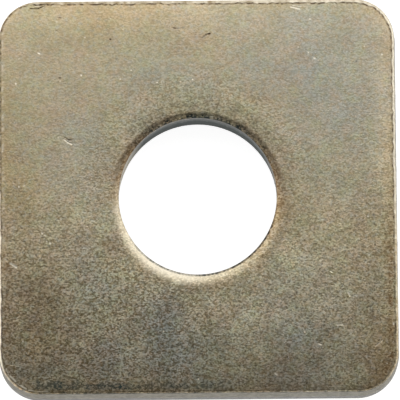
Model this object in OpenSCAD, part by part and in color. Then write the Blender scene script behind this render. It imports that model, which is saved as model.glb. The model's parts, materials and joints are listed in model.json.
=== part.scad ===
// Square plate washer, punched from thick steel strip and yellow zinc plated.
// The hole and the outline are punched from the same side, so their edges are opposite:
// the hole is rolled in at the top face and breaks out below, and the outline is rolled
// in at the underside and breaks out at the top face.
// The origin is on the axis of the hole, at the underside.

/* [Plate] */
// Side of the square, across the smooth lands of the outline
side = 45; // [40:0.5:80]
// Thickness of the plate
thickness = 6; // [5:0.1:10]
// Corner radius, at the smooth land of the outline
corner_r = 4.7; // [2:0.1:10]

/* [Hole] */
// Diameter of the hole at its smooth land
hole_d = 17.8; // [12:0.1:28]
// Width of the rolled-in rim, on the top face
hole_roll_w = 1.35; // [0.9:0.05:2]
// Depth of the rolled-in rim, below the top face
hole_roll_h = 0.45; // [0.3:0.05:0.9]
// Height of the smooth land that the punch burnished
hole_land_h = 1.9; // [1:0.1:3.5]
// Widening of the torn break-out at the underside, on the radius
hole_breakout = 0.12; // [0.04:0.02:0.6]

/* [Outline] */
// Width of the rolled-in edge, on the underside
edge_roll_w = 0.9; // [0.8:0.05:1.8]
// Depth of the rolled-in edge, above the underside
edge_roll_h = 0.7; // [0.3:0.05:0.85]
// Height of the smooth land that the die burnished
edge_land_h = 2.2; // [1:0.1:3.5]
// Setback of the torn break-out above the land
edge_breakout = 0.15; // [0.04:0.01:0.6]
// Width of the worn lip along the top face
lip_w = 0.3; // [0.1:0.05:0.8]
// Depth of the worn lip, below the top face
lip_h = 0.5; // [0.2:0.05:0.9]

/* [Hidden] */
$fn = 96;
// Room by which a cutting shape passes the face that it cuts
overcut = 1;
hole_r = hole_d / 2;
// Distance of the corner arcs' centres from the axis, along X and Y
corner_at = side / 2 - corner_r;
hole_land_bottom = thickness - hole_roll_h - hole_land_h;
edge_land_top = edge_roll_h + edge_land_h;

// Radius of an arc that leaves a face tangentially and drops by h over the width w
function roll_radius(w, h) = (w * w + h * h) / (2 * h);

// Waste outside a rolled-in edge: the metal lies at x < 0 and y > 0, the wall at x = 0
module roll_waste(w, h) {
    difference() {
        translate([-w, -overcut])
            square([w + overcut, h + overcut]);
        translate([-w, roll_radius(w, h)])
            circle(r = roll_radius(w, h));
    }
}

// Section of the rim from a corner's centre out to the land
module rim_section() {
    difference() {
        polygon([
            [0, 0],
            [corner_r, 0],
            [corner_r, edge_land_top],
            [corner_r - edge_breakout, thickness - lip_h],
            [corner_r - edge_breakout - lip_w, thickness],
            [0, thickness]
        ]);
        translate([corner_r, 0])
            roll_waste(edge_roll_w, edge_roll_h);
    }
}

// Blank before the hole: a plain core, and the rim's section along each side and round each corner
module blank() {
    translate([-corner_at, -corner_at, 0])
        cube([2 * corner_at, 2 * corner_at, thickness]);
    for (turn = [0 : 90 : 270])
        rotate([0, 0, turn])
            translate([corner_at, corner_at, 0]) {
                rotate_extrude(angle = 90)
                    rim_section();
                rotate([90, 0, 0])
                    linear_extrude(2 * corner_at)
                        rim_section();
            }
}

// Punched hole: the rolled-in rim, the burnished land and the break-out that widens below it
module punched_hole() {
    rotate_extrude() {
        polygon([
            [0, -overcut],
            [hole_r + hole_breakout, -overcut],
            [hole_r + hole_breakout, 0],
            [hole_r, hole_land_bottom],
            [hole_r, thickness + overcut],
            [0, thickness + overcut]
        ]);
        translate([hole_r, thickness])
            rotate(180)
                roll_waste(hole_roll_w, hole_roll_h);
    }
}

module plate_washer() {
    color([0.62, 0.57, 0.46])
        difference() {
            blank();
            punched_hole();
        }
}

plate_washer();
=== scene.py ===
"""Square plate washer on a white studio floor: the punched plate and its worn yellow zinc."""
import json
import math

import bmesh
import bpy
import numpy as np
from mathutils import Matrix, Vector


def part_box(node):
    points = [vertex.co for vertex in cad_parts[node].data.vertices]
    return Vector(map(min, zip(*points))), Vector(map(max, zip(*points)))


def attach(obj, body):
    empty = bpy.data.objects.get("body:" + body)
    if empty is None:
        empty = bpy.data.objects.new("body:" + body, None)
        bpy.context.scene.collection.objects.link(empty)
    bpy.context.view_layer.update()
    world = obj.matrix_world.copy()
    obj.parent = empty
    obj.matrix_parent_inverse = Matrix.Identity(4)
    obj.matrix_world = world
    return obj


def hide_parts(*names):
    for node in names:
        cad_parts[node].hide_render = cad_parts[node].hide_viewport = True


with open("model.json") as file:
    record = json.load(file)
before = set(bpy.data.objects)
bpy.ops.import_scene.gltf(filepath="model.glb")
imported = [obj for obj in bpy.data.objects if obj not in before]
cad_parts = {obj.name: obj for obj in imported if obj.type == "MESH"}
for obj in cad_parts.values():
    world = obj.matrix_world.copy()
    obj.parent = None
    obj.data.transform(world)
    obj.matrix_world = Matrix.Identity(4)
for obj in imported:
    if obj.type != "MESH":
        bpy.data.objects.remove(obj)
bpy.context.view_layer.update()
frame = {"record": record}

NODE = "plate_washer"
MM = 0.001

# Sizes in millimetres, from the frame
low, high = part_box(NODE)
SIDE = (high[0] - low[0]) / MM
THICKNESS = (high[2] - low[2]) / MM
BOLT_HOLE = next(m for m in frame["record"]["mounts"] if m["name"] == "bolt_hole")
HOLE_R = BOLT_HOLE["dims"]["r_mm"]
HOLE_LAND_H = BOLT_HOLE["dims"]["length_mm"]
HOLE_LAND_TOP = BOLT_HOLE["pos_m"][2] / MM + HOLE_LAND_H / 2
HOLE_LAND_BOTTOM = HOLE_LAND_TOP - HOLE_LAND_H

# Sizes of the punched edges in millimetres, as in the part's source
CORNER_R = 4.7
HOLE_ROLL_W = 1.35
HOLE_ROLL_H = THICKNESS - HOLE_LAND_TOP
HOLE_BREAKOUT = 0.12
EDGE_ROLL_W = 0.9
EDGE_ROLL_H = 0.7
EDGE_LAND_H = 2.2
EDGE_BREAKOUT = 0.15
LIP_W = 0.3
LIP_H = 0.5
# Soft fall of the top face towards its edges: depth and reach
EDGE_FALL = 0.07
EDGE_FALL_REACH = 2.2

# Directions from the hole's axis to the parts of its rim with the painted highlight, the painted glint,
# grime with painted shade, brown, and the painted dark line
RIM_HIGHLIT = np.array((-0.45, -0.893))
RIM_GLEAM = np.array((-0.42, -0.907))
RIM_SHADE_AND_GRIME = np.array((0.08, 1.0))
RIM_BROWN = np.array(((0.98, 0.1), (-0.85, 0.53)))
RIM_SHADE_LINE = np.array((0.2, -0.98))
# Direction from the hole's axis to the part of its wall with painted shade
WALL_SHADED = np.array((0.12, 0.99))
# Direction of the corner that has hardly any lip
LIPLESS = np.array((-0.707, 0.707))
# Direction of the corner whose crease has the deepest painted shade
LINED_CORNER = np.array((0.707, 0.707))
# Direction of the corner that has a golden lip
GOLDEN_CORNER = np.array((-0.6, -0.8))
# Power of the rim's fall towards the wall, close to the arc's and softer at its start
ROLL_POWER = 2.4

# Camera: tilt from straight down, turn in the picture, and the pixels of the photograph that it fits
TILT = math.radians(8.4)
TURN = math.radians(0.5)
CAMERA_DISTANCE = 640.0
PICTURE_PX = 400
SIDE_PX = 400.0
HOLE_PX = (197.7, 196.0)
PX_MM = SIDE / SIDE_PX

# Scratches, nicks and specks of the top face: both ends in pixels of the photograph, width and depth
# in millimetres, and how bare and how dirty the mark is
STROKES = (
    ((64.3, 140), (67.8, 142.8), 0.22, 0.03, 0.95, 0.0),
    ((67.8, 142.8), (71.6, 144.6), 0.28, 0.03, 0.9, 0.0),
    ((64.4, 138), (68.4, 140.6), 0.16, 0.03, 0.0, 0.6),
    ((68.4, 140.6), (71.6, 140.7), 0.2, 0.03, 0.0, 0.7),
    ((206.2, 34.9), (209.8, 33.6), 0.26, 0.04, 0.0, 1.0),
    ((202.2, 38.2), (205.6, 35.6), 0.22, 0.03, 0.0, 0.5),
    ((173.2, 28.0), (175.8, 28.4), 0.18, 0.03, 0.0, 0.55),
    ((176, 28.4), (183.8, 28.4), 0.14, 0.02, 0.0, 0.25),
    ((291, 6.5), (300, 8.5), 0.22, 0.02, 1.0, 0.0),
    ((293, 5), (302, 5.8), 0.12, 0.02, 0.8, 0.0),
    ((10.9, 263.8), (17, 267.4), 0.34, 0.03, 1.0, 0.0),
    ((12.5, 262), (18.6, 265.6), 0.16, 0.02, 0.0, 0.5),
    ((5, 258.8), (7.6, 261), 0.22, 0.02, 0.6, 0.0),
    ((29.5, 8.4), (35.5, 8.2), 0.18, 0.05, 0.0, 0.6),
    ((35.5, 8.4), (38, 8.2), 0.22, 0.05, 0.0, 1.0),
    ((38, 8.2), (44, 5.6), 0.16, 0.05, 0.0, 0.75),
    ((34.5, 6.3), (38.5, 5.9), 0.14, 0.0, 0.45, 0.0),
    ((375, 346), (382, 340), 0.18, 0.03, 0.6, 0.0),
    ((337, 325), (342.5, 324.2), 0.26, 0.03, 0.8, 0.0),
    ((318.5, 343.3), (321, 344.5), 0.2, 0.03, 0.8, 0.0),
    ((348, 293), (349.5, 295.5), 0.3, 0.03, 1.0, 0.0),
    ((330.5, 271.4), (332, 272.5), 0.2, 0.03, 0.7, 0.0),
    ((8, 364), (20, 365.5), 0.14, 0.02, 0.22, 0.0),
    ((163, 68), (163, 92), 0.6, 0.0, 0.09, 0.0),
    ((42.3, 233.4), (42.8, 233.8), 0.24, 0.02, 1.0, 0.0),
    ((45, 235.4), (45.6, 235.6), 0.22, 0.02, 0.9, 0.0),
    ((46.8, 241.8), (47.4, 242.2), 0.22, 0.02, 0.9, 0.0),
    ((50.2, 243.2), (51, 244), 0.28, 0.02, 1.0, 0.0),
    ((19, 187), (19, 187.3), 0.26, 0.02, 1.0, 0.0),
    ((13, 156.5), (27.5, 167), 0.14, 0.01, 0.0, 0.3),
    ((58, 17.6), (60.5, 17.8), 0.2, 0.02, 0.0, 0.4),
    ((56, 31), (57.5, 31.2), 0.18, 0.02, 0.0, 0.6),
    ((4.2, 355.5), (5.2, 358.5), 0.2, 0.02, 0.6, 0.0),
    ((7, 368), (9.5, 374), 0.14, 0.02, 0.5, 0.0),
    ((11.4, 375.6), (16.6, 380.8), 0.28, 0.02, 1.0, 0.0),
    ((17.5, 382.5), (21.5, 385.6), 0.14, 0.02, 0.5, 0.0),
    ((21.9, 384.9), (27, 388.3), 0.28, 0.02, 1.0, 0.0),
    ((29, 389.4), (35, 390.4), 0.16, 0.02, 0.6, 0.0),
    ((38.5, 390.8), (48, 391), 0.14, 0.02, 0.5, 0.0),
    ((157, 82.5), (157, 82.5), 0.28, 0.02, 1.0, 0.0),
    ((180, 81.5), (180.5, 81.5), 0.18, 0.02, 0.7, 0.0),
    ((192.5, 79.5), (193, 79.3), 0.22, 0.02, 0.9, 0.0),
    ((81, 75), (81, 75.5), 0.26, 0.03, 1.0, 0.0),
    ((38, 53), (39, 53.5), 0.28, 0.03, 1.0, 0.0),
    ((131, 70), (131, 70), 0.24, 0.03, 1.0, 0.0),
    ((110, 18), (110.5, 18), 0.22, 0.02, 0.3, 0.0),
    ((84.5, 37), (84.5, 37.5), 0.22, 0.02, 0.6, 0.0),
    ((15.5, 83.5), (15.5, 84), 0.24, 0.03, 1.0, 0.0),
    ((59.2, 79), (60, 79), 0.32, 0.04, 0.0, 1.0),
    ((59.5, 81.2), (60.2, 81.2), 0.16, 0.02, 0.6, 0.0),
    ((120, 79), (120.5, 79), 0.22, 0.02, 1.0, 0.0),
    ((310, 18.5), (311, 18.5), 0.22, 0.02, 0.9, 0.0),
    ((314.5, 58), (315.5, 58), 0.24, 0.03, 1.0, 0.0),
    ((308.5, 52), (309, 52.5), 0.2, 0.02, 0.8, 0.0),
    ((382.5, 54), (382.5, 54.5), 0.24, 0.03, 0.9, 0.0),
    ((356.6, 62), (356.8, 62), 0.32, 0.04, 0.0, 1.0),
    ((110, 39.5), (110, 39.5), 0.28, 0.04, 0.0, 0.9),
    ((304.5, 331), (304.5, 331.5), 0.32, 0.03, 1.0, 0.0),
    ((275, 373), (276.5, 374), 0.32, 0.03, 1.0, 0.0),
    ((393, 323), (393, 324), 0.3, 0.03, 1.0, 0.0),
)

# Broad stains of the top face: centre and reach in pixels of the photograph, and how warm, how cool
# and how light (or dark, below zero) the stain is
STAINS = (
    ((120, 20), (62, 18), 0.55, 0.0, 0.3),
    ((45, 35), (40, 18), 0.25, 0.0, 0.0),
    ((5, 150), (10, 70), 0.6, 0.0, 0.2),
    ((335, 52), (56, 30), 0.0, 0.5, 0.0),
    ((345, 110), (44, 45), 0.0, 0.7, 0.3),
    ((270, 65), (40, 30), 0.0, 0.45, 0.0),
    ((150, 76), (42, 22), 0.0, 0.35, 0.0),
    ((150, 104), (16, 14), 0.0, 0.0, 0.5),
    ((80, 125), (30, 48), 0.0, 0.5, 0.0),
    ((80, 190), (26, 36), 0.0, 0.0, 0.5),
    ((40, 300), (34, 44), 0.5, 0.0, -1.3),
    ((18, 215), (20, 55), 0.6, 0.0, -0.7),
    ((110, 250), (20, 26), 0.6, 0.0, -0.5),
    ((46, 340), (22, 22), 0.3, 0.0, 0.0),
    ((106, 352), (26, 18), 0.0, 0.5, 0.2),
    ((95, 290), (32, 28), 0.0, 0.55, -0.7),
    ((165, 322), (25, 30), 0.0, 0.9, -0.6),
    ((182, 352), (34, 22), 0.0, 0.5, -0.3),
    ((262, 310), (42, 34), 0.1, 0.0, 1.6),
    ((315, 280), (50, 45), 0.0, 0.0, 0.8),
    ((300, 335), (30, 18), 0.0, 0.8, -0.2),
    ((372, 257), (20, 50), 0.3, 0.0, -0.9),
    ((380, 352), (16, 40), 0.9, 0.0, 0.0),
    ((288, 195), (12, 38), 0.4, 0.0, -0.7),
    ((387, 120), (12, 75), 0.0, 0.15, 2.0),
    ((40, 372), (44, 14), 0.0, 0.4, -0.8),
    ((350, 312), (32, 26), 0.1, 0.0, 0.7),
    ((345, 374), (46, 12), 0.0, 0.1, 1.1),
    ((310, 16), (70, 16), 0.0, 0.5, -0.4),
    ((206, 318), (26, 18), 0.0, 0.0, 1.2),
    ((260, 350), (26, 16), 0.0, 0.1, 0.7),
    ((318, 222), (20, 28), 0.0, 0.0, -0.5),
    ((335, 305), (36, 30), 0.0, 0.35, 0.0),
    ((245, 383), (75, 10), 0.0, 0.5, -0.35),
    ((33, 355), (6, 24), 0.7, 0.0, 0.2),
    ((16, 372), (14, 9), 0.0, 0.2, -0.3),
    ((110, 168), (14, 34), 0.3, 0.0, -0.7),
    ((18, 345), (14, 22), 0.2, 0.0, -0.8),
    ((240, 96), (70, 18), 0.0, 0.05, 0.35),
    ((230, 352), (14, 16), 0.0, 0.0, -0.7),
    ((107, 372), (24, 18), 0.0, 0.4, 0.0),
    ((183, 372), (22, 18), 0.0, 0.3, 0.0),
    ((300, 372), (50, 18), 0.0, 0.45, 0.0),
    ((69, 337), (20, 20), 0.0, 0.25, 0.0),
    ((335, 340), (24, 20), 0.0, 0.25, 0.0),
    ((371, 278), (18, 45), 0.0, 0.25, 0.0),
    ((297, 110), (24, 24), 0.0, 0.3, 0.0),
    ((371, 30), (20, 20), 0.0, 0.3, 0.0),
    ((69, 222), (20, 22), 0.4, 0.0, 0.0),
    ((28, 160), (18, 42), 0.25, 0.0, 0.0),
    ((325, 389), (60, 5), 0.0, 0.2, 0.9),
    ((8, 75), (32, 62), 0.0, 0.0, 0.3),
    ((145, 6), (62, 5), 0.0, 0.0, 0.35),
)

# Mesh density
STRAIGHT_STEPS = 150
CORNER_STEPS = 44
WEB_RINGS = 14
ROLL_STEPS = 16
EDGE_ROLL_STEPS = 9
UNDERSIDE_STEPS = 3
# Reach of the hole's surround, and insets of the rings along the outline, in millimetres
SURROUND_REACH = 3.2
FACE_INSETS = (3.5, 2.9, 2.3, 2.0, 1.8, 1.6, 1.4, 1.25, 1.1, 0.85)
# Shares of the break-outs' height at which they have a ring, and how far the tearing swings
HOLE_TEAR_STEPS = (0.0, 0.12, 0.3, 0.5, 0.68, 0.84, 0.94)
EDGE_TEAR_STEPS = (0.0, 0.1, 0.28, 0.48, 0.68, 0.86)
HOLE_TEAR = 0.035
EDGE_TEAR = 0.03
# Rings of the hole's land: distance below its top, how much painted shade and how rubbed they are
HOLE_LAND_STEPS = ((1.0, 0.75, 0.1), (0.5, 0.5, 0.5), (0.15, 0.2, 1.0))
# Rings outside the hole's rim: distance from the wall, and how much grime and painted shade they take
SURROUND_STEPS = ((1.85, 0.26), (2.1, 0.16), (2.6, 0.06), (SURROUND_REACH, 0.0))
# Rings of the worn lip: share of its width that is left, and share of its height that has fallen
LIP_STEPS = ((0.75, 0.06), (0.5, 0.16), (0.25, 0.33), (0.08, 0.6))
# Groove along the lip: width of its outer flank, greatest depth, and the depth at which its painted
# shade is full
FLANK_W = 0.08
FLANK_DROP = 0.03
GROOVE_MAX = 0.1
GROOVE_DARK = 0.05
NARROWEST_LIP = 0.14
# Rings of the underside: insets from the outline, and the distance of the last one from the hole
UNDERSIDE_INSETS = (1.4, 2.0)
UNDERSIDE_GAP = 0.5
# Distance that the marks in millimetres have where no edge is near
NO_EDGE_MM = 99.0
# Finer mesh round the strokes: cuts, margin in millimetres, and whether it cuts only across the rings
REFINE_PASSES = ((4, 0.2, True), (2, 0.08, False))
# Depth below the top face down to which faces are refined, and points are pressed
REFINE_DEPTH = 0.1
PRESS_DEPTH = 0.2
# Falloff of a stain from its centre to its reach
STAIN_FALL = 1.2


def photo_to_plate(px, py):
    """Place on the top face, in millimetres, of a pixel of the photograph."""
    right = (px - HOLE_PX[0]) * PX_MM
    up = (HOLE_PX[1] - py) * PX_MM / math.cos(TILT)
    return (
        right * math.cos(TURN) + up * math.sin(TURN),
        up * math.cos(TURN) - right * math.sin(TURN),
    )


def outline_samples():
    """Points of the square of corner centres, outward normals and running lengths along the outline."""
    at = SIDE / 2 - CORNER_R
    points, normals = [], []
    for quarter in range(4):
        turn = quarter * math.pi / 2
        spin = np.array([[math.cos(turn), -math.sin(turn)], [math.sin(turn), math.cos(turn)]])
        for i in range(STRAIGHT_STEPS):
            points.append(spin @ (at, -at + 2 * at * i / STRAIGHT_STEPS))
            normals.append(spin @ (1.0, 0.0))
        for i in range(CORNER_STEPS):
            swing = math.pi / 2 * i / CORNER_STEPS
            points.append(spin @ (at, at))
            normals.append(spin @ (math.cos(swing), math.sin(swing)))
    points, normals = np.array(points), np.array(normals)
    edge = points + normals * CORNER_R
    steps = np.linalg.norm(np.roll(edge, -1, axis=0) - edge, axis=1)
    lengths = np.concatenate([[0.0], np.cumsum(steps)[:-1]])
    return points, normals, lengths, steps.sum()


CENTRES, NORMALS, LENGTHS, PERIMETER = outline_samples()
COUNT = len(LENGTHS)


def ripple(seed, shortest, longest, waves=24):
    """Smooth random curve along the outline, about one unit high, that closes on itself."""
    rng = np.random.default_rng(seed)
    total = np.zeros(COUNT)
    for wavelength in np.geomspace(shortest, longest, waves):
        turns = max(1, round(PERIMETER / wavelength * rng.uniform(0.9, 1.1)))
        total += np.sin(2 * np.pi * turns * LENGTHS / PERIMETER + rng.uniform(0, 2 * np.pi))
    return total / math.sqrt(waves / 2) * 0.7


def roll_arc(w, h, steps):
    """(run from the wall, depth from the face) along an arc that leaves the face tangentially."""
    radius = (w * w + h * h) / (2 * h)
    sweep = math.asin(w / radius)
    return [
        (w - radius * math.sin(sweep * i / steps), radius * (1 - math.cos(sweep * i / steps)))
        for i in range(steps + 1)
    ]


def circle_ring(radius):
    """Points on a circle, each on the ray of its outline point."""
    aim = CENTRES + NORMALS * CORNER_R
    return aim / np.linalg.norm(aim, axis=1)[:, None] * radius


def rim_ring(inset):
    """Points on a parallel of the outline, inset by a number or by one value a point."""
    reach = np.broadcast_to(CORNER_R - np.asarray(inset, float), (COUNT,))
    return CENTRES + NORMALS * reach[:, None]


class Section:
    """Closed loop of rings from which the plate is lofted, with the marks that its material reads."""

    MARKS = (
        "crease", "lip", "torn", "land", "bore", "roll",
        "bare", "dirt", "smudge", "rust", "edge_mm", "hole_mm",
    )
    STAIN_MARKS = ("warm", "cool", "light")

    def __init__(self):
        self.rings = []
        self.marks = {name: [] for name in self.MARKS}

    def add(self, plan, z, **marks):
        height = np.broadcast_to(np.asarray(z, float), (COUNT,))
        self.rings.append(np.column_stack([plan, height]))
        for name in self.MARKS:
            value = marks.get(name, NO_EDGE_MM if name.endswith("_mm") else 0.0)
            self.marks[name].append(np.broadcast_to(np.asarray(value, float), (COUNT,)))


def stain_marks(places):
    """How warm, how cool and how light the broad stains leave each point, in the plane."""
    totals = np.zeros((3, len(places)))
    for centre, reach, *strengths in STAINS:
        away = (places - photo_to_plate(*centre)) / (np.array(reach) * PX_MM)
        share = np.exp(-STAIN_FALL * (away ** 2).sum(axis=1))
        totals += np.outer(strengths, share)
    return dict(zip(Section.STAIN_MARKS, totals))


def unit(values):
    """Values kept between zero and one."""
    return np.clip(values, 0.0, 1.0)


def add_hole(section):
    """From the underside up the break-out and the land, and over the rolled-in rim."""
    aim = circle_ring(1.0)
    # Far side of the rim: painted shade on the roll, and grime round it on the face
    shade_and_grime = unit(1.4 * (aim @ RIM_SHADE_AND_GRIME) - 0.25)
    add_hole_wall(section, aim, shade_and_grime)
    add_hole_rim(section, aim, shade_and_grime)
    for run, shade in SURROUND_STEPS:
        dim = shade * shade_and_grime * (1 + 0.6 * unit(aim[:, 0]))
        section.add(aim * (HOLE_R + run), THICKNESS, hole_mm=run, dirt=dim)


def add_hole_wall(section, aim, shade_and_grime):
    """Torn break-out and burnished land of the hole, with painted shade on the far side, pale on the
    others, and a painted highlight on the left.
    """
    # Painted shade on the far side of the wall, and a painted highlight on its left side
    pale = unit((0.64 - aim @ WALL_SHADED) / 0.3)
    dark = 1 - pale
    wall_glint = 0.7 * pale * unit(-2 * aim[:, 0] - 0.6)
    for i, step in enumerate(HOLE_TEAR_STEPS):
        room = HOLE_BREAKOUT * (1 - step)
        rough = HOLE_TEAR * ripple(200 + i, 0.4, 6.0) * (1 - step) if i else 0.0
        radius = np.broadcast_to(HOLE_R + room - np.minimum(rough, room), (COUNT,))
        section.add(aim * radius[:, None], HOLE_LAND_BOTTOM * step, torn=1.0, bore=dark, bare=wall_glint)
    land = circle_ring(HOLE_R)
    border = HOLE_LAND_BOTTOM + 0.22 * ripple(230, 0.8, 12.0)
    section.add(land, border, torn=0.6, land=0.4, bore=dark, bare=wall_glint)
    section.add(land, border + 0.25, land=1.0, bore=0.85 * dark, bare=wall_glint)
    rubbed = unit(0.35 + 0.2 * ripple(231, 0.6, 5.0)) * unit(0.7 - 1.2 * aim[:, 0])
    for below, share, rub in HOLE_LAND_STEPS:
        bare = np.maximum(rub * rubbed, wall_glint)
        section.add(land, HOLE_LAND_TOP - below, land=1.0, bore=share * dark, bare=bare)
    # Painted shade in the crease under the rolled rim, darkest on the far side
    section.add(land, HOLE_LAND_TOP - 0.03, land=1.0, dirt=0.4 + 0.6 * shade_and_grime)


def add_hole_rim(section, aim, shade_and_grime):
    """Rolled-in rim of the hole: painted highlight, painted glint, brown, grime with painted shade, or
    a painted dark line, by its direction.
    """
    # Painted highlight and glint on the near side of the rim
    highlit = unit(1.35 * (aim @ RIM_HIGHLIT) - 0.3)
    gleam = unit(aim @ RIM_GLEAM) ** 6
    brown = np.maximum(*(unit(aim @ way) ** 3 for way in RIM_BROWN))
    # Painted dark line along the near inner edge of the rim, as painted shade
    shade_dashes = unit(2.6 * (aim @ RIM_SHADE_LINE) - 0.75) * unit(0.85 + 0.35 * ripple(240, 0.5, 4.0))
    far_darkening = unit(0.98 + 0.25 * ripple(241, 0.8, 5.0)) * shade_and_grime
    width = HOLE_ROLL_W * (0.89 - 0.35 * aim[:, 1])
    for run, _ in reversed(roll_arc(HOLE_ROLL_W, HOLE_ROLL_H, ROLL_STEPS)):
        share = run / HOLE_ROLL_W
        left = 1 - share
        line = 0.9 * shade_dashes * unit(2.9 - run / 0.08)
        darkening = far_darkening * (0.38 + 0.85 * max(0.0, 1 - share / 0.8))
        section.add(
            aim * (HOLE_R + share * width)[:, None],
            THICKNESS - HOLE_ROLL_H * left ** ROLL_POWER,
            hole_mm=run,
            roll=highlit * left ** 1.4,
            bare=gleam * left ** 1.2,
            rust=0.95 * brown * left ** 0.8,
            crease=line,
            dirt=np.maximum(line, darkening),
        )


def face_fall(inset, crease):
    """Soft fall of the top face at an inset from the outline, less along the far side."""
    share = unit(1 - (inset - crease) / EDGE_FALL_REACH)
    return EDGE_FALL * along_sides(1.0, 0.35, 1.0, 1.0) * share ** 2


def along_sides(right, top, left, bottom):
    """One value for each side of the outline, blended round the corners."""
    x, y = NORMALS[:, 0], NORMALS[:, 1]
    shares = [unit(v) ** 2 for v in (x, y, -x, -y)]
    return sum(share * value for share, value in zip(shares, (right, top, left, bottom)))


def window(values, start, end, soft=2.0):
    """One between two values and zero outside them, with soft ends."""
    rise = unit((values - start) / soft + 0.5)
    fall = unit((end - values) / soft + 0.5)
    return rise * fall


class Lip:
    """How the worn lip and the groove inside it vary along the outline."""

    def __init__(self):
        edge = CENTRES + NORMALS * CORNER_R
        self.x = edge[:, 0]
        self.lower = unit(0.5 - edge[:, 1] / 12)
        self.lowest = unit(0.2 - edge[:, 1] / 10)
        self.righter = unit(0.5 + self.x / 30)
        self.corner = unit(NORMALS @ LIPLESS) ** 6
        self.set_groove()
        self.set_shine()
        self.set_dirt()

    def set_groove(self):
        """Course and depth of the groove."""
        far = along_sides(0.0, 1.0, 0.0, 0.0)
        wander = 0.045 * ripple(11, 1.0, 9.0) + (0.025 + 0.02 * far) * ripple(12, 0.5, 1.5)
        deep = along_sides(0.03 - 0.014 * self.lower, 0.055, 0.035 - 0.012 * self.lower, 0.015)
        deep = deep + 0.04 * unit(NORMALS @ LINED_CORNER) ** 4
        self.groove = np.clip(deep * (1 + 0.55 * ripple(13, 0.7, 5.0)), 0.0, GROOVE_MAX)
        self.depth = unit(self.groove / GROOVE_DARK)
        shift = along_sides(0.02, 0.12 + 0.06 * self.righter, -0.02 - 0.1 * (1 - self.lower), 0.0)
        shift = shift - 0.22 * self.corner
        course = EDGE_BREAKOUT + LIP_W + shift + wander * (1 - 0.5 * self.corner)
        self.crease = np.maximum(course, EDGE_BREAKOUT + NARROWEST_LIP)

    def set_shine(self):
        """Golden, beaded, bronze and sheared stretches, and the lip's painted highlight."""
        golden = unit(2.2 * unit(NORMALS @ GOLDEN_CORNER) ** 6 - 0.4)
        self.golden = golden * unit(0.6 + 0.5 * ripple(20, 0.6, 3.0))
        right, top, left = 1.0 - 0.85 * self.lowest, 0.25 + 0.5 * self.righter, 0.35 + 0.6 * self.lower
        shine = along_sides(right, top, left, 0.0)
        # Painted highlight along the lip
        lip_glint = unit(shine + 0.3 * ripple(14, 0.6, 4.0) * (shine > 0.02))
        self.lip_glint = lip_glint * (1 - 0.75 * self.golden)
        beads = along_sides(0.0, 0.12, 0.5 - 0.1 * self.lower, 0.0)
        self.beads = beads * unit(0.2 + 0.8 * ripple(17, 0.5, 3.0))
        self.bronze = along_sides(0.9 - 0.5 * self.lower, 0.85, 0.8, 0.2) * (1 - 0.8 * self.golden)
        self.spread = along_sides(0.4, 0.4, 0.8, 0.4)
        self.sheared = along_sides(0.8 * (1 - self.lower), 0.0, 0.0, 0.7) * (1 - self.golden)

    def set_dirt(self):
        """Smudge and soot of the near side, and rust of the others."""
        near = along_sides(0.0, 0.0, 0.0, 1.0)
        grime = 0.12 + 0.62 * window(self.x, -18.0, -7.0) + 0.42 * window(self.x, -7.5, 2.5, 4.0)
        self.smudge = near * unit(grime * (0.9 + 0.3 * ripple(15, 1.2, 9.0)))
        wider = 0.35 * window(self.x, -19.5, -14.0, 1.5)
        self.smudge_reach = 1.45 + 0.25 * ripple(19, 1.5, 8.0) + wider
        sooty = 0.7 - 0.3 * window(self.x, 0.0, 22.0, 6.0) + 0.2 * ripple(18, 0.5, 4.0)
        self.soot = near * unit(sooty) * (1 - self.golden)
        rusty = along_sides(0.85, 0.0, 0.45, 0.1) * (0.05 + 0.95 * self.lowest)
        self.rust = rusty * unit(0.7 + 0.4 * ripple(16, 0.8, 8.0))


def add_top(section):
    """Across the top face, over the groove and down the worn lip."""
    lip = Lip()
    add_web(section)
    add_face_edge(section, lip)
    add_groove(section, lip)
    add_lip(section, lip)


def add_web(section):
    """Flat middle of the top face."""
    inner, outer = circle_ring(HOLE_R + SURROUND_REACH), rim_ring(FACE_INSETS[0])
    for i in range(1, WEB_RINGS):
        share = i / WEB_RINGS
        section.add(inner * (1 - share) + outer * share, THICKNESS)


def add_face_edge(section, lip):
    """Top face along the outline, where it falls and is stained."""
    for inset in FACE_INSETS:
        stain = max(0.0, 1 - inset / 1.8)
        section.add(
            rim_ring(np.maximum(inset, lip.crease + 0.3)),
            THICKNESS - face_fall(inset, lip.crease),
            edge_mm=inset,
            smudge=lip.smudge * unit((lip.smudge_reach - inset) / 0.3),
            rust=lip.rust * min(1.0, 2 * stain),
        )
    section.add(
        rim_ring(lip.crease + 0.24),
        THICKNESS - face_fall(0.2, 0.0),
        edge_mm=0.6,
        smudge=0.85 * lip.smudge,
        rust=lip.rust,
        bare=lip.beads,
    )


def add_groove(section, lip):
    """Groove between the top face and the lip."""
    shoulder = THICKNESS - face_fall(0.0, 0.0)
    inner = rim_ring(lip.crease + 0.12)
    # Painted shade in the groove, by its depth
    section.add(inner, shoulder - 0.25 * lip.groove, edge_mm=0.45, crease=0.45 * lip.depth)
    section.add(rim_ring(lip.crease), shoulder - lip.groove, edge_mm=0.4, crease=lip.depth)
    section.add(
        rim_ring(lip.crease - FLANK_W),
        shoulder - FLANK_DROP,
        edge_mm=0.3,
        crease=0.3 * lip.depth,
        lip=0.8 * lip.bronze,
        bare=0.8 * lip.lip_glint,
        dirt=lip.soot,
        rust=lip.golden,
    )


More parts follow.
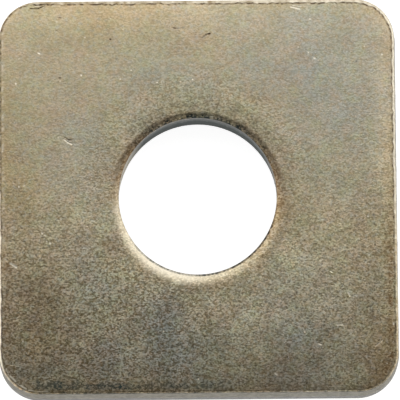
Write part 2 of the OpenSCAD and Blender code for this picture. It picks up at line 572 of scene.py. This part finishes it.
def add_lip(section, lip):
    """Down the worn lip to the break-out."""
    for share, drop in LIP_STEPS:
        inset = EDGE_BREAKOUT + (lip.crease - FLANK_W - EDGE_BREAKOUT) * share
        fall = FLANK_DROP + face_fall(0.0, 0.0) * (1 - drop)
        section.add(
            rim_ring(inset),
            THICKNESS - drop * LIP_H - fall,
            edge_mm=0.2,
            crease=0.7 * lip.corner,
            lip=lip.bronze,
            bare=lip.lip_glint * (lip.spread + (1 - lip.spread) * share),
            dirt=lip.soot,
            rust=lip.golden,
            torn=lip.sheared * (share < 0.4),
            land=0.7 * lip.sheared * (share < 0.3),
        )


def add_outline(section):
    """Down the break-out and the land of the outline and round its rolled-in edge."""
    top = THICKNESS - LIP_H
    bottom = EDGE_ROLL_H + EDGE_LAND_H
    for i, step in enumerate(EDGE_TEAR_STEPS):
        rough = np.abs(EDGE_TEAR * ripple(300 + i, 0.4, 6.0)) if i else 0.0
        inset = EDGE_BREAKOUT * (1 - step) + rough
        section.add(rim_ring(inset), top + (bottom - top) * step, torn=1.0)
    border = bottom + 0.2 * ripple(330, 0.8, 12.0)
    section.add(rim_ring(0.0), border, torn=0.5, land=0.5)
    section.add(rim_ring(0.0), border - 0.3, land=1.0)
    section.add(rim_ring(0.0), EDGE_ROLL_H + 0.1, land=1.0)
    for run, depth in reversed(roll_arc(EDGE_ROLL_W, EDGE_ROLL_H, EDGE_ROLL_STEPS)):
        section.add(rim_ring(run), depth, roll=0.15)


def add_underside(section):
    """Back across the underside to the hole."""
    first, second = UNDERSIDE_INSETS
    section.add(rim_ring(first), 0.0, edge_mm=first)
    inner, outer = circle_ring(HOLE_R + HOLE_BREAKOUT + UNDERSIDE_GAP), rim_ring(second)
    for i in range(UNDERSIDE_STEPS + 1):
        share = i / UNDERSIDE_STEPS
        section.add(outer * (1 - share) + inner * share, 0.0)


def plate_mesh():
    """The plate, lofted round its closed section."""
    section = Section()
    add_hole(section)
    add_top(section)
    add_outline(section)
    add_underside(section)
    rings = len(section.rings)
    places = np.concatenate(section.rings) * MM
    around = np.arange(COUNT)
    after = np.roll(around, -1)
    faces = []
    for ring in range(rings):
        this, following = ring * COUNT, (ring + 1) % rings * COUNT
        corners = (this + around, following + around, following + after, this + after)
        faces.append(np.column_stack(corners))
    mesh = bpy.data.meshes.new("plate_washer_body")
    mesh.from_pydata(places.tolist(), [], np.concatenate(faces).tolist())
    for name in Section.MARKS:
        layer = mesh.attributes.new(name, "FLOAT", "POINT")
        layer.data.foreach_set("value", np.concatenate(section.marks[name]))
    for name, values in stain_marks(places[:, :2] / MM).items():
        mesh.attributes.new(name, "FLOAT", "POINT").data.foreach_set("value", values)
    press_strokes(mesh)
    mesh.shade_smooth()
    mesh.update()
    return mesh


def strokes_on_plate():
    """Strokes of the top face in millimetres."""
    return [(photo_to_plate(*start), photo_to_plate(*end), *rest) for start, end, *rest in STROKES]


def gap_to_stroke(places, start, end):
    """Distances in the plane of points from a stroke's middle line."""
    start, run = np.array(start), np.subtract(end, start)
    share = unit((places - start) @ run / max(run @ run, 1e-9))
    return np.linalg.norm(places - start - share[:, None] * run, axis=1)


def is_radial(edge):
    """Whether an edge of the loft runs across the section's rings."""
    return edge.verts[0].index % COUNT == edge.verts[1].index % COUNT


def face_span(face):
    """Longest distance of a face's corners from its first one."""
    return max((corner.co - face.verts[0].co).length for corner in face.verts)


def refine(mesh, strokes):
    """Splits the faces around the strokes, so that they can be pressed into the mesh."""
    body = bmesh.new()
    body.from_mesh(mesh)
    for cuts, margin, radial in REFINE_PASSES:
        body.faces.ensure_lookup_table()
        centres = np.array([face.calc_center_median() for face in body.faces]) / MM
        spans = np.array([face_span(face) for face in body.faces]) / MM
        top = centres[:, 2] > THICKNESS - REFINE_DEPTH
        hit = np.zeros(len(centres), bool)
        for start, end, width, *_ in strokes:
            reach = width / 2 + margin + spans / 2
            hit |= top & (gap_to_stroke(centres[:, :2], start, end) < reach)
        edges = {edge for i in np.flatnonzero(hit) for edge in body.faces[i].edges}
        if radial:
            edges = {edge for edge in edges if is_radial(edge)}
        ordered = sorted(edges, key=lambda edge: edge.index)
        bmesh.ops.subdivide_edges(body, edges=ordered, cuts=cuts, use_grid_fill=True)
        body.verts.index_update()
        body.edges.index_update()
    body.to_mesh(mesh)
    body.free()


def press_strokes(mesh):
    """Scratches, nicks and specks of the top face."""
    strokes = strokes_on_plate()
    refine(mesh, strokes)
    count = len(mesh.vertices)
    flat = np.empty(count * 3)
    mesh.vertices.foreach_get("co", flat)
    places = flat.reshape(-1, 3) / MM
    top = places[:, 2] > THICKNESS - PRESS_DEPTH
    marks = {name: np.empty(count) for name in ("bare", "crease")}
    for name, values in marks.items():
        mesh.attributes[name].data.foreach_get("value", values)
    for start, end, width, depth, bare, dirt in strokes:
        share = unit(1.5 - 3 * gap_to_stroke(places[:, :2], start, end) / width) * top
        places[:, 2] -= depth * share
        marks["bare"] = np.maximum(marks["bare"], bare * share)
        marks["crease"] = np.maximum(marks["crease"], dirt * share)
    mesh.vertices.foreach_set("co", (places * MM).ravel())
    for name, values in marks.items():
        mesh.attributes[name].data.foreach_set("value", values)


class Tree:
    """Short words for building a material's nodes."""

    def __init__(self, name):
        self.material = bpy.data.materials.new(name)
        self.material.use_nodes = True
        self.nodes = self.material.node_tree.nodes
        self.links = self.material.node_tree.links
        self.nodes.clear()
        self.output = self.nodes.new("ShaderNodeOutputMaterial")
        self.place = self.nodes.new("ShaderNodeTexCoord").outputs["Object"]

    def feed(self, socket, value):
        if isinstance(value, bpy.types.NodeSocket):
            self.links.new(value, socket)
        else:
            socket.default_value = value

    def placed(self, node, shift, stretch):
        """Gives a texture the shifted and stretched place on the plate."""
        mapping = self.nodes.new("ShaderNodeMapping")
        mapping.inputs["Location"].default_value = shift
        mapping.inputs["Scale"].default_value = stretch
        self.links.new(self.place, mapping.inputs["Vector"])
        self.links.new(mapping.outputs["Vector"], node.inputs["Vector"])

    def noise(self, scale, detail, roughness, distortion=0.0, shift=(0, 0, 0), stretch=(1, 1, 1)):
        node = self.nodes.new("ShaderNodeTexNoise")
        self.placed(node, shift, stretch)
        node.inputs["Scale"].default_value = scale
        node.inputs["Detail"].default_value = detail
        node.inputs["Roughness"].default_value = roughness
        node.inputs["Distortion"].default_value = distortion
        return node.outputs["Fac"]

    def cells(self, scale, shift=(0, 0, 0), stretch=(1, 1, 1), flat=False):
        """Random value and distance from the middle of the cell that a point is in."""
        node = self.nodes.new("ShaderNodeTexVoronoi")
        node.voronoi_dimensions = "2D" if flat else "3D"
        self.placed(node, shift, stretch)
        node.inputs["Scale"].default_value = scale
        parts = self.nodes.new("ShaderNodeSeparateColor")
        self.links.new(node.outputs["Color"], parts.inputs["Color"])
        return parts.outputs["Red"], node.outputs["Distance"]

    def along(self, axis):
        node = self.nodes.new("ShaderNodeSeparateXYZ")
        self.links.new(self.place, node.inputs["Vector"])
        return node.outputs[axis]

    def from_axis(self):
        """Distance from the axis of the hole."""
        flat = self.nodes.new("ShaderNodeVectorMath")
        flat.operation = "MULTIPLY"
        flat.inputs[1].default_value = (1, 1, 0)
        self.links.new(self.place, flat.inputs[0])
        length = self.nodes.new("ShaderNodeVectorMath")
        length.operation = "LENGTH"
        self.links.new(flat.outputs["Vector"], length.inputs[0])
        return length.outputs["Value"]

    def mark(self, name):
        node = self.nodes.new("ShaderNodeAttribute")
        node.attribute_name = name
        return node.outputs["Fac"]

    def math(self, operation, first, second=0.0, clamp=False):
        node = self.nodes.new("ShaderNodeMath")
        node.operation = operation
        node.use_clamp = clamp
        self.feed(node.inputs[0], first)
        self.feed(node.inputs[1], second)
        return node.outputs["Value"]

    def times(self, first, second, clamp=False):
        return self.math("MULTIPLY", first, second, clamp)

    def plus(self, first, second):
        return self.math("ADD", first, second)

    def most(self, first, second):
        return self.math("MAXIMUM", first, second)

    def span(self, value, start, end, low=0.0, high=1.0):
        """Maps start..end to low..high, smoothly and without passing them."""
        node = self.nodes.new("ShaderNodeMapRange")
        node.interpolation_type = "SMOOTHSTEP"
        self.feed(node.inputs["Value"], value)
        node.inputs["From Min"].default_value = start
        node.inputs["From Max"].default_value = end
        node.inputs["To Min"].default_value = low
        node.inputs["To Max"].default_value = high
        return node.outputs["Result"]

    def mix(self, share, first, second, blend="MIX"):
        node = self.nodes.new("ShaderNodeMix")
        node.data_type = "RGBA"
        node.blend_type = blend
        self.feed(node.inputs["Factor"], share)
        self.feed(node.inputs["A"], first)
        self.feed(node.inputs["B"], second)
        return node.outputs["Result"]

    def tint(self, share, colour, factor):
        """Colour times a factor, which counts by its share."""
        return self.mix(share, colour, factor, "MULTIPLY")

    def blend(self, share, first, second):
        node = self.nodes.new("ShaderNodeMix")
        self.feed(node.inputs["Factor"], share)
        self.feed(node.inputs["A"], first)
        self.feed(node.inputs["B"], second)
        return node.outputs["Result"]

    def bump(self, height, distance):
        node = self.nodes.new("ShaderNodeBump")
        node.inputs["Strength"].default_value = 1.0
        node.inputs["Distance"].default_value = distance
        self.links.new(height, node.inputs["Height"])
        return node.outputs["Normal"]


def rgb(red, green, blue):
    """Linear colour of an 8-bit sRGB colour."""
    def linear(value):
        value /= 255
        return value / 12.92 if value <= 0.04045 else ((value + 0.055) / 1.055) ** 2.4
    return (linear(red), linear(green), linear(blue), 1.0)


TAN = rgb(197, 182, 153)
OLIVE = rgb(191, 182, 150)
BLUE_GREY = rgb(178, 181, 172)
BROWN = rgb(194, 169, 128)
PINK = rgb(198, 176, 152)
GREEN = rgb(186, 186, 148)
CREASE_SHADE_AND_DIRT = rgb(80, 60, 42)
PIT = rgb(68, 60, 44)
BARE_AND_HIGHLIGHT = rgb(250, 241, 220)
ROLL_HIGHLIGHT = rgb(246, 233, 204)
BRONZE = rgb(160, 142, 110)
RUST = rgb(162, 124, 82)
SOOT_AND_SHADE = rgb(48, 55, 53)
SMUDGE = rgb(80, 94, 90)
# Factors of the grain's dark and light ends: dark grains are browner and light ones paler
DARK_GRIT = (0.485, 0.44, 0.33, 1.0)
LIGHT_GRIT = (1.515, 1.56, 1.67, 1.0)
TORN_GREY = rgb(162, 158, 147)
LAND_GREY = rgb(124, 124, 125)
HOLE_SHADE_GREY = rgb(79, 88, 85)
# Stretch of the grain along the strip that the plate was punched from
ROLLED = (0.95, 1.25, 1.0)
# Painted light and shade along Y: both ends of each ramp, in metres, and the factors at them
TONES = ((0.0215, 0.017, 1.04, 0.875), (0.013, -0.007, 1.0, 1.41), (-0.006, -0.022, 1.0, 0.74))
BUMP_M = 0.00006
FLOOR_GREY = 0.5
FLOOR_GLOW = 0.91
FLOOR_REACH = 3.0
FLOOR_DROP = 0.00002
ROOM_LEVEL = 0.22


class Zinc(Tree):
    """Dulled yellow chromate on zinc, with stained edges, a bright lip and grey sheared walls."""

    def __init__(self, name):
        super().__init__(name)
        self.blotch = self.noise(140, 4, 0.55, 0.3)
        self.warm = self.noise(120, 4, 0.55, 0.3, shift=(0.1, 0.5, 0))
        self.grain = self.noise(3900, 2, 0.6, stretch=ROLLED)
        coarse = self.noise(4000, 1, 0.5, shift=(0.8, 0.4, 0), stretch=ROLLED)
        self.speckle = self.blend(0.5, coarse, self.cells(5400, stretch=ROLLED)[0])
        self.grit = self.mix(self.span(self.speckle, 0.2, 0.8), DARK_GRIT, LIGHT_GRIT)
        self.tear = self.noise(1500, 3, 0.65, stretch=(1, 1, 0.5), shift=(0.3, 0.6, 0.2))
        self.streak = self.noise(1500, 2, 0.6, stretch=(1, 1, 0.04), shift=(0.7, 0.1, 0.5))
        # Share towards the near side; grit and pits grow with it, partly as painted shade of the grain
        self.nearness = self.span(self.along("Y"), 0.020, -0.020)
        self.wall = self.most(self.mark("torn"), self.mark("land"))
        self.smooth = self.most(self.times(self.mark("roll"), 0.8), self.wall)

    def plating(self):
        """Tan and olive blotches, with cool, brown, pink and green ones between them."""
        cool = self.noise(105, 4, 0.55, 0.3, shift=(0.3, 0.1, 0))
        hue = self.noise(760, 2, 0.5, shift=(0.5, 0.8, 0))
        fleck = self.noise(2300, 1, 0.5, shift=(0.6, 0.2, 0))
        colour = self.mix(self.span(self.blotch, 0.35, 0.65), TAN, OLIVE)
        cool = self.plus(self.span(cool, 0.44, 0.72, 0, 0.4), self.times(self.mark("cool"), 0.9))
        colour = self.mix(self.math("MINIMUM", cool, 1.0), colour, BLUE_GREY)
        warm = self.plus(self.span(self.warm, 0.46, 0.74, 0, 0.4), self.times(self.mark("warm"), 0.7))
        colour = self.mix(self.math("MINIMUM", warm, 1.0), colour, BROWN)
        colour = self.mix(self.span(hue, 0.48, 0.75, 0, 0.5), colour, PINK)
        colour = self.mix(self.span(hue, 0.52, 0.25, 0, 0.5), colour, GREEN)
        colour = self.mix(self.span(fleck, 0.5, 0.75, 0, 0.4), colour, BROWN)
        return self.mix(self.span(fleck, 0.5, 0.25, 0, 0.4), colour, BLUE_GREY)

    def stained(self, colour):
        """Brown edges, clouds, and light and dark stains."""
        cloud = self.noise(430, 3, 0.6, 0.2, shift=(0.2, 0.7, 0))
        shade = self.noise(150, 3, 0.5, 0.3, shift=(0.9, 0.3, 0))
        edge = self.span(self.mark("edge_mm"), 2.4, 0.4)
        edge = self.most(edge, self.span(self.mark("hole_mm"), 2.8, 0.9))
        colour = self.mix(self.times(edge, self.span(self.warm, 0.35, 0.6, 0.0, 0.35)), colour, BROWN)
        clouded = self.span(self.nearness, 0, 1, 0.4, 1.1)
        colour = self.tint(clouded, colour, self.span(cloud, 0.3, 0.7, 0.88, 1.12))
        colour = self.tint(1.0, colour, self.span(shade, 0.3, 0.7, 0.97, 1.03))
        return self.tint(1.0, colour, self.plus(self.times(self.mark("light"), 0.16), 1.0))

    def gritted(self, colour):
        """Fine grit and pits, stronger towards the near side, partly as painted shade of the grain, and
        round the hole.
        """
        left = self.span(self.along("X"), 0.010, -0.014, 0, 0.45)
        left = self.times(left, self.span(self.nearness, 0.4, 1.0))
        gritty = self.plus(self.span(self.nearness, 0, 1, 0.31, 0.7), left)
        gritty = self.times(gritty, self.span(self.along("X"), -0.006, -0.015, 1.0, 0.82))
        by_hole = self.span(self.from_axis(), 0.0175, 0.012)
        gritty = self.most(gritty, self.times(by_hole, 0.56))
        colour = self.tint(gritty, colour, self.grit)
        pits = self.times(self.span(self.grain, 0.46, 0.28), self.span(self.nearness, 0, 1, 0.1, 0.7))
        return self.mix(pits, colour, PIT)

    def toned(self, colour):
        """Painted light and shade along Y, from the far side to the near one."""
        for start, end, first, last in TONES:
            colour = self.tint(1.0, colour, self.span(self.along("Y"), start, end, first, last))
        return colour

    def worn(self, colour):
        """Rust, the painted highlight of the hole's rim, painted shade and dirt in the creases, and the
        bronze lip.
        """
        rust = self.times(self.mark("rust"), self.span(self.speckle, 0.65, 0.35, 0.5, 0.95))
        colour = self.mix(rust, colour, self.tint(0.7, RUST, self.grit))
        # Painted highlight on the rolled-in rim of the hole
        rim_highlight = self.tint(0.36, ROLL_HIGHLIGHT, self.grit)
        colour = self.mix(self.times(self.mark("roll"), 0.95), colour, rim_highlight)
        # Painted shade in the creases, with the dirt of the strokes
        broken = self.span(self.noise(2400, 1, 0.5, shift=(0.2, 0.3, 0.9)), 0.38, 0.6, 0.4, 1.15)
        colour = self.mix(self.times(self.mark("crease"), broken, clamp=True), colour, CREASE_SHADE_AND_DIRT)
        return self.mix(self.mark("lip"), colour, BRONZE)

    def sheared(self, colour):
        """Torn and burnished walls, and painted shade on the far wall of the hole."""
        torn = self.tint(1.0, TORN_GREY, self.span(self.tear, 0.3, 0.7, 0.78, 1.22))
        colour = self.mix(self.times(self.mark("torn"), 0.9), colour, torn)
        land = self.tint(1.0, LAND_GREY, self.span(self.streak, 0.3, 0.7, 0.8, 1.2))
        colour = self.mix(self.times(self.mark("land"), 0.9), colour, land)
        # Painted shade on the far wall of the hole
        return self.mix(self.mark("bore"), colour, HOLE_SHADE_GREY)

    def specks(self):
        """Share of the bare specks on the top face, in two sizes."""
        luck, gap = self.cells(260, shift=(0.4, 0.9, 0), flat=True)
        speck = self.times(self.span(gap, 0.032, 0.02), self.span(luck, 0.6, 0.98))
        speck = self.times(speck, self.span(self.nearness, 0, 1, 0.4, 1.0))
        luck, gap = self.cells(420, shift=(0.7, 0.2, 0), flat=True)
        fine = self.times(self.span(gap, 0.045, 0.025), self.span(luck, 0.55, 0.95))
        fine = self.times(fine, self.span(self.nearness, 0.4, 1.0, 0.0, 0.8))
        return self.times(self.most(speck, fine), self.span(self.wall, 0.3, 0.0))

    def marked(self, colour):
        """Bare scratches and specks and painted highlights, then clots of dirt with painted shade, and
        smudges.
        """
        # Bare scratches and specks, and the painted highlights of the rim, the hole's wall and the lip
        colour = self.mix(self.mark("bare"), colour, BARE_AND_HIGHLIGHT)
        colour = self.mix(self.specks(), colour, BARE_AND_HIGHLIGHT)
        # Dirt and soot, with painted shade round the hole's rim
        darkening = self.times(self.mark("dirt"), self.span(self.speckle, 0.8, 0.3, 0.55, 1.0))
        patchy = self.noise(850, 3, 0.6, shift=(0.1, 0.9, 0.4))
        darkening = self.times(darkening, self.span(patchy, 0.36, 0.62, 0.55, 1.3), clamp=True)
        colour = self.mix(darkening, colour, SOOT_AND_SHADE)
        smear = self.times(self.mark("smudge"), self.span(self.speckle, 0.72, 0.34, 0.45, 1.05))
        return self.mix(smear, colour, SMUDGE)

    def roughness(self):
        """Dull plating, duller torn walls and smoother lands."""
        value = self.blend(self.smooth, self.span(self.blotch, 0.3, 0.7, 0.40, 0.48), 0.42)
        value = self.blend(self.wall, value, 0.6)
        return self.blend(self.mark("land"), value, 0.45)

    def relief(self):
        """Fine grain of the faces, tears and streaks of the walls."""
        height = self.times(self.grain, self.span(self.smooth, 0, 1, 1.0, 0.3))
        height = self.times(height, self.span(self.nearness, 0, 1, 0.5, 0.6))
        height = self.plus(height, self.times(self.tear, self.mark("torn")))
        height = self.plus(height, self.times(self.streak, self.mark("land")))
        return self.bump(height, BUMP_M)


def yellow_zinc():
    """Material of the plate: the plating first, then what lies over it."""
    tree = Zinc("yellow_zinc_steel")
    colour = tree.plating()
    for coat in (tree.stained, tree.gritted, tree.toned, tree.worn, tree.sheared, tree.marked):
        colour = coat(colour)
    shader = tree.nodes.new("ShaderNodeBsdfPrincipled")
    shader.inputs["Specular IOR Level"].default_value = 0.08
    tree.feed(shader.inputs["Metallic"], tree.span(tree.wall, 0, 1, 1.0, 0.1))
    tree.feed(shader.inputs["Base Color"], colour)
    tree.feed(shader.inputs["Roughness"], tree.roughness())
    tree.feed(shader.inputs["Normal"], tree.relief())
    tree.links.new(shader.outputs["BSDF"], tree.output.inputs["Surface"])
    return tree.material


def add_plate():
    """The plate piece, in place of the plain solid."""
    plate = bpy.data.objects.new("plate_washer_body", plate_mesh())
    bpy.context.scene.collection.objects.link(plate)
    plate.data.materials.append(yellow_zinc())
    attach(plate, "root")
    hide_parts(NODE)


def floor_material():
    """White floor: plain matt paint, with light of its own where it is seen or mirrored."""
    tree = Tree("white_floor")
    path = tree.nodes.new("ShaderNodeLightPath")
    seen = tree.most(path.outputs["Is Camera Ray"], path.outputs["Is Glossy Ray"])
    seen = tree.most(seen, path.outputs["Is Transmission Ray"])
    paint = tree.nodes.new("ShaderNodeBsdfDiffuse")
    paint.inputs["Color"].default_value = (FLOOR_GREY, FLOOR_GREY, FLOOR_GREY, 1)
    glow = tree.nodes.new("ShaderNodeEmission")
    glow.inputs["Color"].default_value = (1, 1, 1, 1)
    tree.links.new(tree.times(seen, FLOOR_GLOW), glow.inputs["Strength"])
    both = tree.nodes.new("ShaderNodeAddShader")
    tree.links.new(paint.outputs["BSDF"], both.inputs[0])
    tree.links.new(glow.outputs["Emission"], both.inputs[1])
    tree.links.new(both.outputs["Shader"], tree.output.inputs["Surface"])
    return tree.material


def add_floor():
    """Large plain floor under the plate."""
    reach = FLOOR_REACH
    mesh = bpy.data.meshes.new("floor")
    corners = [(-reach, -reach, 0), (reach, -reach, 0), (reach, reach, 0), (-reach, reach, 0)]
    mesh.from_pydata(corners, [], [(0, 1, 2, 3)])
    floor = bpy.data.objects.new("floor", mesh)
    floor.location.z = -FLOOR_DROP
    mesh.materials.append(floor_material())
    bpy.context.scene.collection.objects.link(floor)


def add_softbox(name, place, aim, size, level):
    """Area light that faces a point above the plate; level is its brightness as seen."""
    light = bpy.data.lights.new(name, "AREA")
    light.shape = "RECTANGLE"
    light.size, light.size_y = (value * MM for value in size)
    light.energy = level * math.pi * light.size * light.size_y
    lamp = bpy.data.objects.new(name, light)
    lamp.location = Vector(place) * MM
    lamp.rotation_euler = (Vector(aim) - Vector(place)).to_track_quat("-Z", "Y").to_euler()
    lamp.visible_camera = False
    bpy.context.scene.collection.objects.link(lamp)


def add_lights():
    """Panel that leans over the far side, low fills on the other sides, and an even dim room."""
    add_softbox("far_panel", (10, 48, 38), (10, 20, 6), (250, 85), 0.95)
    add_softbox("near_fill", (0, -100, 12), (0, 0, 6), (240, 24), 2.0)
    for side in (-1, 1):
        add_softbox("side_fill", (100 * side, 0, 28), (0, 0, 8), (160, 56), 0.7)
    world = bpy.data.worlds.new("studio")
    bpy.context.scene.world = world
    world.use_nodes = True
    room = world.node_tree.nodes["Background"]
    room.inputs["Color"].default_value = (1.0, 1.0, 1.0, 1)
    room.inputs["Strength"].default_value = ROOM_LEVEL


def add_camera():
    """Long lens above the plate, tilted a little towards its near side and turned by a fraction."""
    data = bpy.data.cameras.new("camera")
    camera = bpy.data.objects.new("camera", data)
    bpy.context.scene.collection.objects.link(camera)
    data.sensor_width = 36.0
    data.lens = data.sensor_width * CAMERA_DISTANCE / (PICTURE_PX * PX_MM)
    aim = Vector((
        (PICTURE_PX / 2 - HOLE_PX[0]) * PX_MM,
        (HOLE_PX[1] - PICTURE_PX / 2) * PX_MM / math.cos(TILT),
        HOLE_LAND_TOP,
    ))
    back = Vector((0, -math.sin(TILT), math.cos(TILT)))
    look = (-back).to_track_quat("-Z", "Y").to_matrix().to_4x4()
    camera.matrix_world = (
        Matrix.Translation((aim + back * CAMERA_DISTANCE) * MM) @ look @ Matrix.Rotation(-TURN, 4, "Z")
    )
    data.clip_start, data.clip_end = 0.01, 10.0
    bpy.context.scene.camera = camera


bpy.context.scene.view_settings.view_transform = "Standard"
add_plate()
add_floor()
add_lights()
add_camera()
